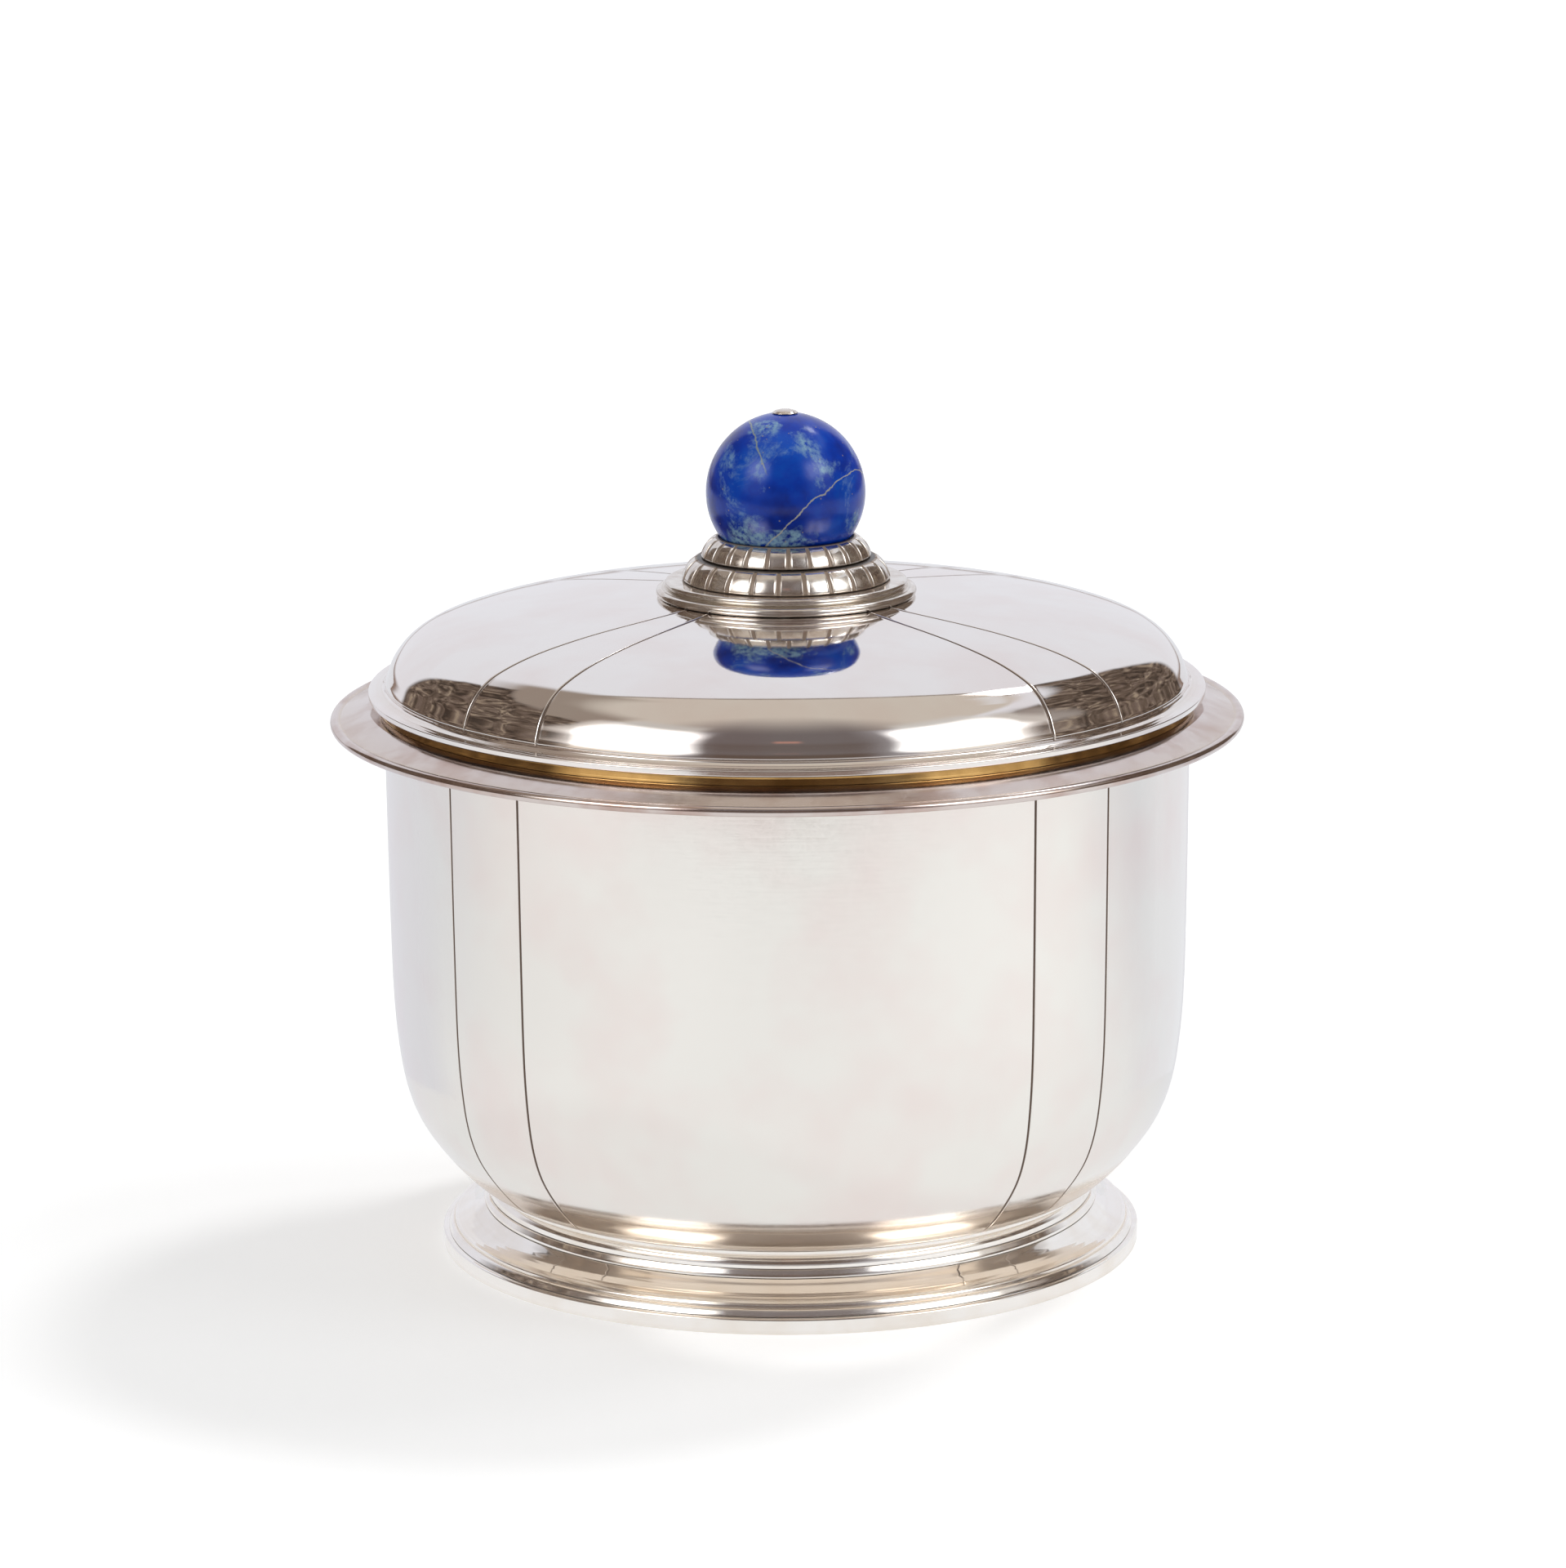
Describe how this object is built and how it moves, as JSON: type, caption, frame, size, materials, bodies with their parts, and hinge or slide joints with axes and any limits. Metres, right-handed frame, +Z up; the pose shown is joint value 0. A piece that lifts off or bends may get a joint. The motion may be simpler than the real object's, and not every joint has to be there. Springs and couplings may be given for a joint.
{
  "type": "biscuit box",
  "caption": "Round silver biscuit box: flared mouth with a gilt ring, moulded foot, lift-off domed lid and a polished blue stone ball knob on cushioned rings",
  "frame": {"origin": "on the axis of the box, at the flat underside of the foot", "axes": "+Z up along the axis, which is the line of symmetry of the turned shape; front, the side facing the viewer, towards -Y; the engraved line pairs lie about 45 degrees either side of it, front and back"},
  "size_m": [0.1724, 0.1724, 0.1604],
  "materials": {
    "silver": "polished sterling silver with fine polishing scratches",
    "gilt": "polished gilt silver",
    "lapis": "polished lapis lazuli with pale veins"
  },
  "bodies": {
    "box": {"foot_base_band": "silver", "foot_flare": "silver", "foot_wire": "silver", "foot_neck": "silver", "bowl": "silver", "mouth_collar": "silver", "mouth_bezel": "gilt"},
    "lid": {"lid_flange": "silver", "lid_dome": "silver", "lid_sleeve": "gilt", "knob_base": "silver", "knob_lower_ring": "silver", "knob_upper_ring": "silver", "lapis_ball": "lapis", "knob_cap": "silver", "knob_rod": "silver", "knob_washer": "silver", "knob_nut": "silver"}
  },
  "joints": [
    {"name": "lid_lift", "type": "slide", "parent": "box", "child": "lid", "axis": [0, 0, 1], "range_m": [0, 0.12]}
  ]
}
